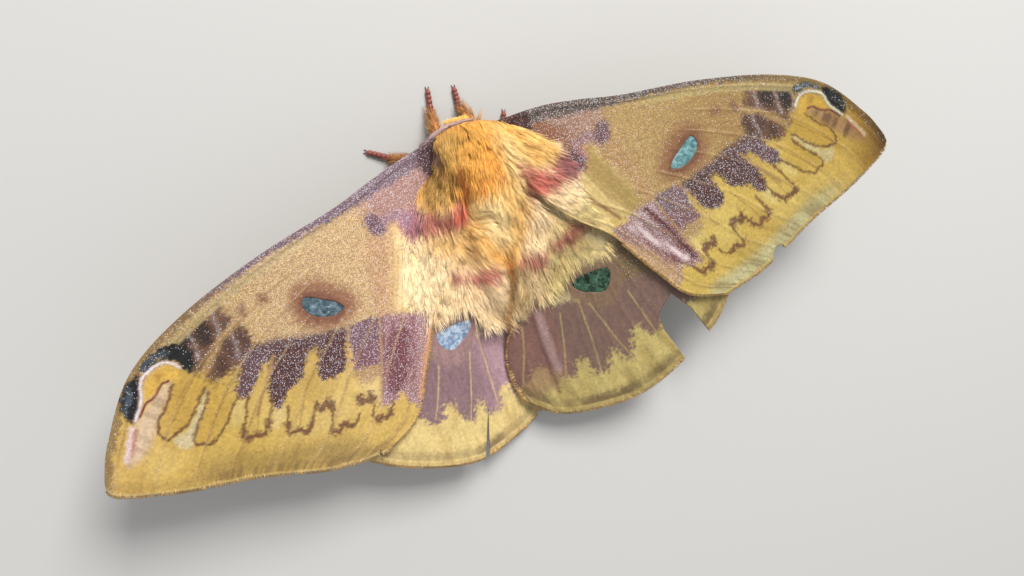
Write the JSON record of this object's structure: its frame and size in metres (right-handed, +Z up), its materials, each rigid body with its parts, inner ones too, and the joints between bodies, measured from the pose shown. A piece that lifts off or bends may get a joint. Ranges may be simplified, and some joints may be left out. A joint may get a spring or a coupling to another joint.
{
  "type": "silk moth model",
  "caption": "Life-size model of a large silk moth, wings spread flat, standing on its feet, with woolly body, feathered feelers and clear wing windows.",
  "frame": {"origin": "middle of the outline at floor level, under the six feet", "axes": "+X to the moth's right along the wing span, +Y to its head, +Z up"},
  "size_m": [0.11, 0.0498, 0.015],
  "materials": {
    "forewing_scales": "matte, dusted with scales",
    "hindwing_scales": "matte, dusted with scales",
    "window_membrane": "clear, faintly iridescent",
    "saffron_hair": "woolly hair",
    "pale_hair": "long silky hair",
    "leg_cuticle": "satin, haired",
    "feeler": "matte",
    "eye": "glossy, faceted"
  },
  "bodies": {
    "root": {"head": "saffron_hair", "thorax": "saffron_hair", "abdomen": "pale_hair", "forewing_left": "forewing_scales", "forewing_right": "forewing_scales", "hindwing_left": "hindwing_scales", "hindwing_right": "hindwing_scales", "window_forewing_left": "window_membrane", "window_forewing_right": "window_membrane", "window_hindwing_left": "window_membrane", "window_hindwing_right": "window_membrane", "eye_left": "eye", "eye_right": "eye", "antenna_left": "feeler", "antenna_right": "feeler", "leg_front_left": "leg_cuticle", "leg_front_right": "leg_cuticle", "leg_middle_left": "leg_cuticle", "leg_middle_right": "leg_cuticle", "leg_hind_left": "leg_cuticle", "leg_hind_right": "leg_cuticle"}
  },
  "joints": []
}
